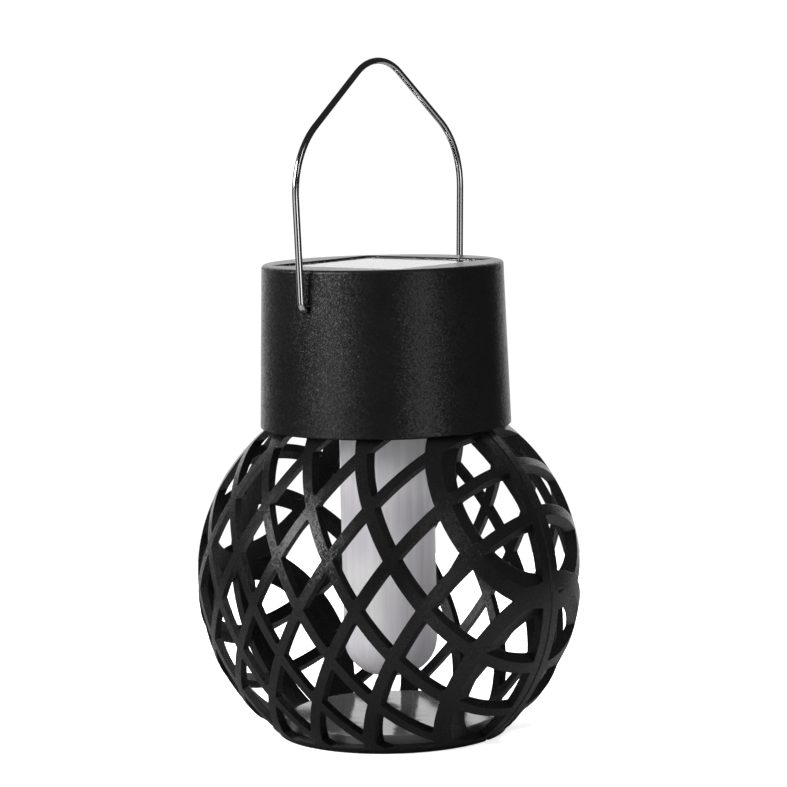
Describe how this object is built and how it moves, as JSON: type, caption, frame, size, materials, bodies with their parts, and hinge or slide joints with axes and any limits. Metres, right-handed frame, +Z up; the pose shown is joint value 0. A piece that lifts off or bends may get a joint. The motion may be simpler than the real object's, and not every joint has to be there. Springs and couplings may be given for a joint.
{
  "type": "solar garden light",
  "caption": "Ball-shaped lattice garden lantern with a twist-off solar lamp top, a frosted hanging light tube and a swinging wire bail.",
  "frame": {"origin": "centre of the base, on the surface that the lantern stands on", "axes": "+Z up through the centre of the ball; X along the bail's pivots; the cage halves meet on a plane 2.1 degrees round from the YZ plane, where the bayonet leaves the lamp top"},
  "size_m": [0.1222, 0.1224, 0.214],
  "materials": {
    "cage_black": "satin moulded plastic",
    "gloss_black": "polished moulded plastic",
    "cap_black": "fine spark-eroded grain",
    "chassis_black": "matt moulded plastic",
    "bail_chrome": "bright plated wire",
    "frosted_tube": "frosted translucent plastic",
    "panel_window": "clear satin cover",
    "solar_silicon": "dark blue cells with fine silver fingers",
    "panel_backing": "white laminate",
    "foam": "closed-cell foam",
    "seal_rubber": "soft rubber",
    "screw_steel": "zinc plated",
    "led_board_white": "white solder mask",
    "led_resin": "clear resin with yellow phosphor",
    "knob_white": "smooth",
    "battery_wrap": "plain shrink sleeve",
    "contact_nickel": "nickel plated",
    "board_green": "solder mask",
    "component_black": "moulded packages",
    "lead_red": "insulated",
    "lead_white": "insulated"
  },
  "bodies": {
    "cage": {"cage_shell_front": "cage_black", "cage_shell_back": "cage_black", "base_plate": "gloss_black", "foot_screws": "screw_steel", "neck_collar": "cage_black", "collar_screws": "screw_steel"},
    "seal": {"neck_seal": "seal_rubber"},
    "lamp_top": {"cap_housing": "cap_black", "panel_foam_pad": "foam", "panel_board": "panel_backing", "solar_cells": "solar_silicon", "panel_cover": "panel_window", "lamp_chassis": "chassis_black", "chassis_screws": "screw_steel", "light_tube": "frosted_tube", "tube_retainer": "chassis_black", "led_board": "led_board_white", "leds": "led_resin", "switch_body": "chassis_black", "battery_holder": "chassis_black", "battery_cell": "battery_wrap", "battery_contact": "contact_nickel", "battery_spring": "contact_nickel", "circuit_board": "board_green", "board_screws": "screw_steel", "board_components": "component_black", "panel_leads": "lead_red", "lamp_leads": "lead_white", "switch_leads": "lead_white", "battery_leads": "lead_red"},
    "bail": {"bail_wire": "bail_chrome"},
    "switch": {"switch_knob": "knob_white"}
  },
  "joints": [
    {"name": "top_turn", "type": "hinge", "parent": "cage", "child": "seal", "pos_m": [0, 0, 0.1082], "axis": [0, 0, -1], "range_deg": [0, 30]},
    {"name": "top_lift", "type": "slide", "parent": "seal", "child": "lamp_top", "axis": [0, 0, 1], "range_m": [0, 0.095]},
    {"name": "bail_swing", "type": "hinge", "parent": "lamp_top", "child": "bail", "pos_m": [0, 0, 0.1376], "axis": [1, 0, 0], "range_deg": [-135, 135]},
    {"name": "switch_slide", "type": "slide", "parent": "lamp_top", "child": "switch", "axis": [0, 1, 0], "range_m": [0, 0.003]}
  ]
}
